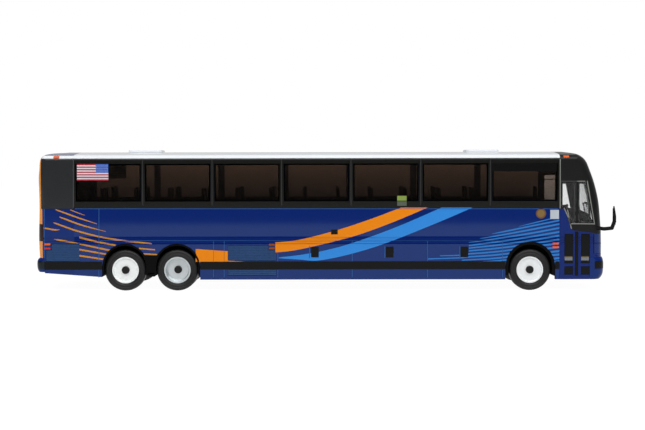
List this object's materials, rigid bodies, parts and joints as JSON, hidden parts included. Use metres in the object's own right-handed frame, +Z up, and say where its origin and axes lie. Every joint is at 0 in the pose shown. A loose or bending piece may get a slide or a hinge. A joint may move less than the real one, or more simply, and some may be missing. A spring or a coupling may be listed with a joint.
{
  "type": "scale model coach bus",
  "caption": "Small die-cast model of a highway coach with a tinted window band, a solid blue body with swept side stripes, and wheel sets that roll on steel rods.",
  "frame": {"origin": "on the ground, below the middle of the outer box", "axes": "+X to the front of the coach, +Y to its left side, +Z up"},
  "size_m": [0.1612, 0.0362, 0.0391],
  "materials": {
    "body_paint": "glossy blue enamel over cast zinc",
    "cap_paint": "glossy blue enamel with a black mask",
    "bumper_paint": "moulded ABS, painted blue",
    "trim_plastic": "moulded black ABS, satin",
    "band_black": "glossy black print",
    "red_lens": "clear red moulding",
    "amber_lens": "clear amber moulding",
    "roof_white": "white enamel",
    "tinted_glazing": "smoke brown polystyrene",
    "clear_glazing": "clear polystyrene",
    "lamp_lens": "clear polystyrene lens",
    "mesh_paint": "moulded louvres in blue grey",
    "chassis_plastic": "moulded black ABS",
    "screw_steel": "zinc plated",
    "cabin_plastic": "moulded dark grey ABS",
    "seat_plastic": "moulded dark grey ABS",
    "hub_black": "black oxide steel",
    "wheel_silver": "turned face, satin",
    "tyre_rubber": "smooth soft vinyl"
  },
  "bodies": {
    "coach_body": {"arch_trim_front_left": "trim_plastic", "arch_trim_front_right": "trim_plastic", "arch_trim_rear_left": "trim_plastic", "arch_trim_rear_right": "trim_plastic", "base_screws": "screw_steel", "body_shell": "body_paint", "bumper_inserts": "trim_plastic", "cab_side_glass": "clear_glazing", "cabin_floor": "cabin_plastic", "chassis_plate": "chassis_plastic", "dashboard": "cabin_plastic", "door_inserts": "band_black", "driver_seat": "seat_plastic", "engine_grille": "trim_plastic", "front_bumper": "bumper_paint", "front_cap": "cap_paint", "headlamps": "lamp_lens", "luggage_latches": "trim_plastic", "mirror_left": "trim_plastic", "mirror_right": "trim_plastic", "rear_bumper": "bumper_paint", "rear_cap": "cap_paint", "rear_quarter_panels": "band_black", "rear_window": "band_black", "roof_hatches": "roof_white", "roof_marker_lamps": "amber_lens", "rub_strips": "trim_plastic", "seats_left": "seat_plastic", "seats_right": "seat_plastic", "side_grilles": "mesh_paint", "side_marker_lamps": "amber_lens", "sign_glass": "tinted_glazing", "steering_wheel": "trim_plastic", "tail_lamps": "red_lens", "window_band_left": "band_black", "window_band_right": "band_black", "window_panes_left": "tinted_glazing", "window_panes_right": "tinted_glazing", "windscreen": "clear_glazing", "wipers": "trim_plastic"},
    "front_axle": {"front_axle_rod": "hub_black", "front_tyre_left": "tyre_rubber", "front_tyre_right": "tyre_rubber", "front_wheel_left": "wheel_silver", "front_wheel_right": "wheel_silver"},
    "drive_axle": {"drive_axle_rod": "hub_black", "drive_tyre_left": "tyre_rubber", "drive_tyre_right": "tyre_rubber", "drive_wheel_left": "wheel_silver", "drive_wheel_right": "wheel_silver"},
    "tag_axle": {"tag_axle_rod": "hub_black", "tag_tyre_left": "tyre_rubber", "tag_tyre_right": "tyre_rubber", "tag_wheel_left": "wheel_silver", "tag_wheel_right": "wheel_silver"}
  },
  "joints": [
    {"name": "front_axle_roll", "type": "hinge", "parent": "coach_body", "child": "front_axle", "pos_m": [0.05717, 0, 0.00575], "axis": [0, 1, 0], "continuous": true},
    {"name": "drive_axle_roll", "type": "hinge", "parent": "coach_body", "child": "drive_axle", "pos_m": [-0.04072, 0, 0.00575], "axis": [0, 1, 0], "continuous": true},
    {"name": "tag_axle_roll", "type": "hinge", "parent": "coach_body", "child": "tag_axle", "pos_m": [-0.05518, 0, 0.00575], "axis": [0, 1, 0], "continuous": true}
  ]
}
